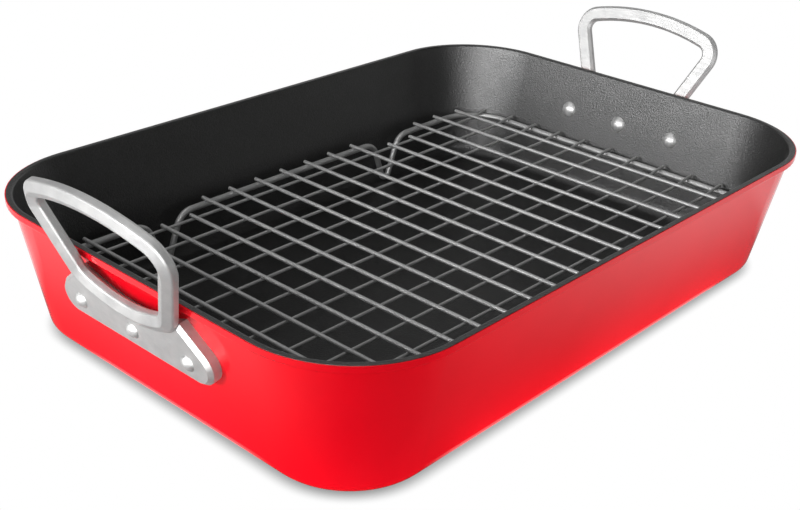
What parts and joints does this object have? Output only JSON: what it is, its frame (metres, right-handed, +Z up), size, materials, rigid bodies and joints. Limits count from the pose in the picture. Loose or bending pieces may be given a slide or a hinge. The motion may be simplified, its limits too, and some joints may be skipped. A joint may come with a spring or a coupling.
{
  "type": "roasting pan with rack",
  "caption": "Rectangular roasting pan with flared walls, rolled rim and two upright loop handles, holding a lift-out wire rack on bent feet.",
  "frame": {"origin": "centre of the flat underside of the pan", "axes": "+X along the pan towards the right handle, +Y across the pan, +Z up"},
  "size_m": [0.4484, 0.286, 0.1222],
  "materials": {
    "red_enamel": "gloss",
    "nonstick_black": "satin",
    "cast_steel": "satin",
    "rivet_steel": "polished",
    "rack_wire": "satin"
  },
  "bodies": {
    "pan": {"pan_shell": "red_enamel", "nonstick_lining": "nonstick_black", "left_handle": "cast_steel", "right_handle": "cast_steel", "left_handle_rivet_1": "rivet_steel", "left_handle_rivet_2": "rivet_steel", "left_handle_rivet_3": "rivet_steel", "right_handle_rivet_1": "rivet_steel", "right_handle_rivet_2": "rivet_steel", "right_handle_rivet_3": "rivet_steel"},
    "rack": {"rack_frame": "rack_wire", "rack_cross_wire_01": "rack_wire", "rack_cross_wire_02": "rack_wire", "rack_cross_wire_03": "rack_wire", "rack_cross_wire_04": "rack_wire", "rack_cross_wire_05": "rack_wire", "rack_cross_wire_06": "rack_wire", "rack_cross_wire_07": "rack_wire", "rack_cross_wire_08": "rack_wire", "rack_cross_wire_09": "rack_wire", "rack_cross_wire_10": "rack_wire", "rack_cross_wire_11": "rack_wire", "rack_cross_wire_12": "rack_wire", "rack_cross_wire_13": "rack_wire", "rack_cross_wire_14": "rack_wire", "rack_cross_wire_15": "rack_wire", "rack_cross_wire_16": "rack_wire", "rack_cross_wire_17": "rack_wire", "rack_long_wire_01": "rack_wire", "rack_long_wire_02": "rack_wire", "rack_long_wire_03": "rack_wire", "rack_long_wire_04": "rack_wire", "rack_long_wire_05": "rack_wire", "rack_long_wire_06": "rack_wire", "rack_long_wire_07": "rack_wire", "rack_long_wire_08": "rack_wire", "rack_long_wire_09": "rack_wire", "rack_long_wire_10": "rack_wire", "rack_long_wire_11": "rack_wire"}
  },
  "joints": [
    {"name": "rack_lift", "type": "slide", "parent": "pan", "child": "rack", "axis": [0, 0, 1], "range_m": [0, 0.12]}
  ]
}
